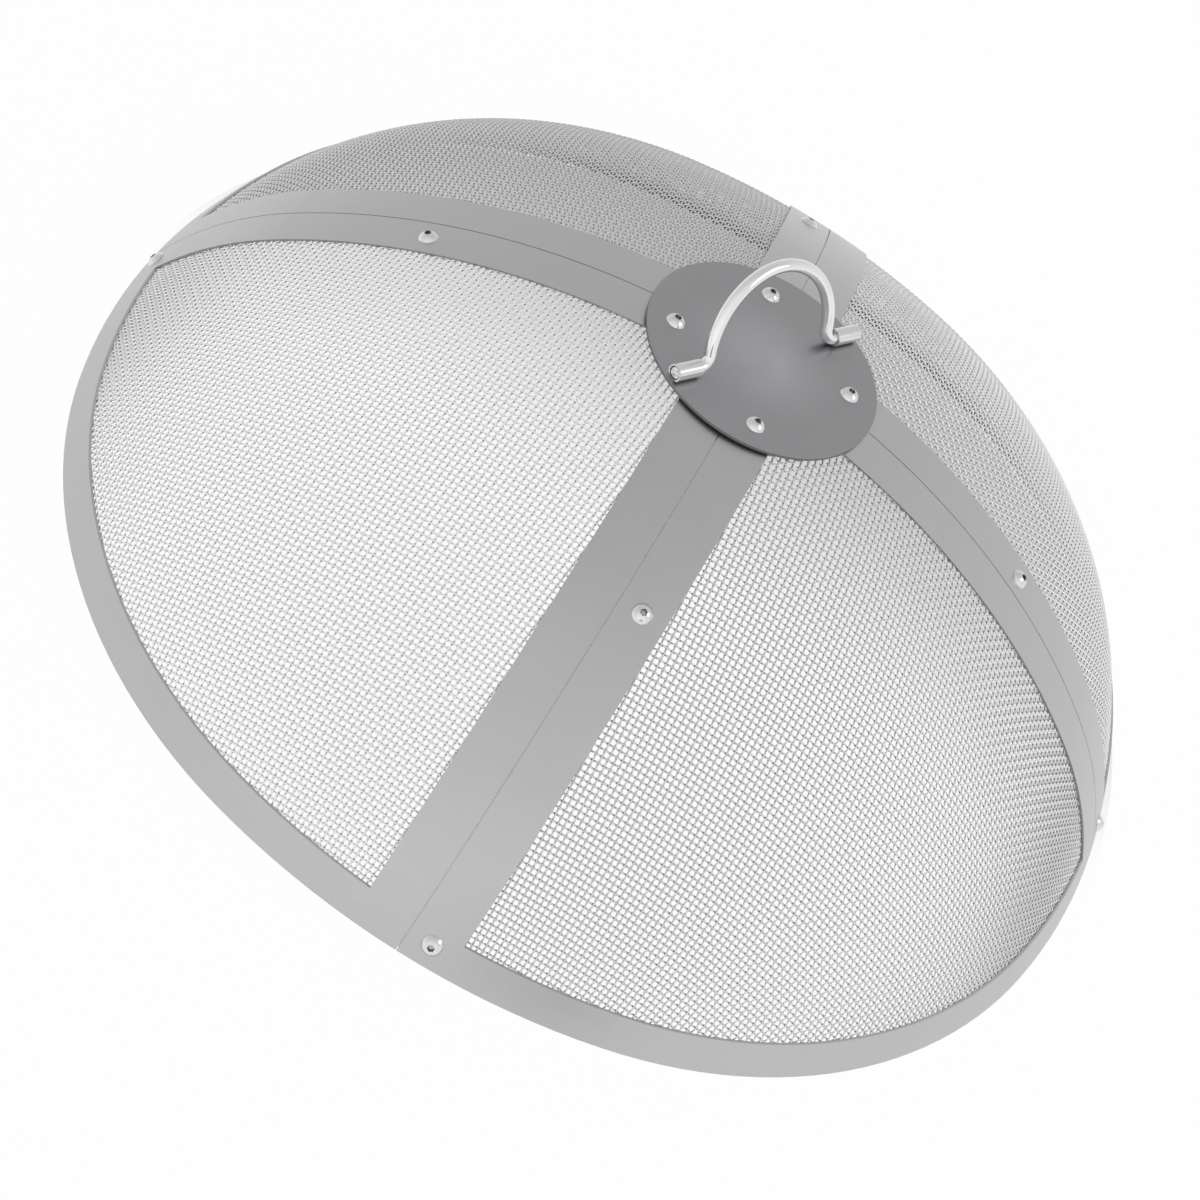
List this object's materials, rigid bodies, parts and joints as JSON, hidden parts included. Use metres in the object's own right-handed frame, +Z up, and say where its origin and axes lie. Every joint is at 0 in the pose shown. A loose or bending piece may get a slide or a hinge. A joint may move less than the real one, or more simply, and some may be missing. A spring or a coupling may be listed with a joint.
{
  "type": "spark screen",
  "caption": "Domed wire-mesh screen for a round fire bowl, made of framed panels screwed together, with a round top plate and a swinging bail handle.",
  "frame": {"origin": "centre of the rim, on the surface that the screen rests on", "axes": "+Z up along the dome's axis; X along the handle's hinge line, +X to the viewer's right; +Y to the back, the way the handle leans"},
  "size_m": [0.5574, 0.5574, 0.1944],
  "materials": {
    "frame_steel": "fine satin sheet",
    "wire_mesh": "bright woven wire",
    "lap_steel": "plain sheet, inside",
    "plate_steel": "fine satin sheet",
    "hinge_steel": "bright tube",
    "rod_chrome": "polished rod",
    "fastener_chrome": "polished"
  },
  "bodies": {
    "screen": {"frame_front": "frame_steel", "frame_right": "frame_steel", "frame_back": "frame_steel", "frame_left": "frame_steel", "mesh_front": "wire_mesh", "mesh_right": "wire_mesh", "mesh_back": "wire_mesh", "mesh_left": "wire_mesh", "lap_front_left": "lap_steel", "lap_front_right": "lap_steel", "lap_back_right": "lap_steel", "lap_back_left": "lap_steel", "top_plate": "plate_steel", "clip_left": "hinge_steel", "clip_right": "hinge_steel", "screws_rim": "fastener_chrome", "screws_mid": "fastener_chrome", "screws_plate": "fastener_chrome", "nuts_rim": "fastener_chrome", "nuts_mid": "fastener_chrome", "nuts_plate": "fastener_chrome"},
    "handle": {"bail": "rod_chrome"}
  },
  "joints": [
    {"name": "handle_hinge", "type": "hinge", "parent": "screen", "child": "handle", "pos_m": [0, 0, 0.15407], "axis": [1, 0, 0], "range_deg": [-58, 110]}
  ]
}
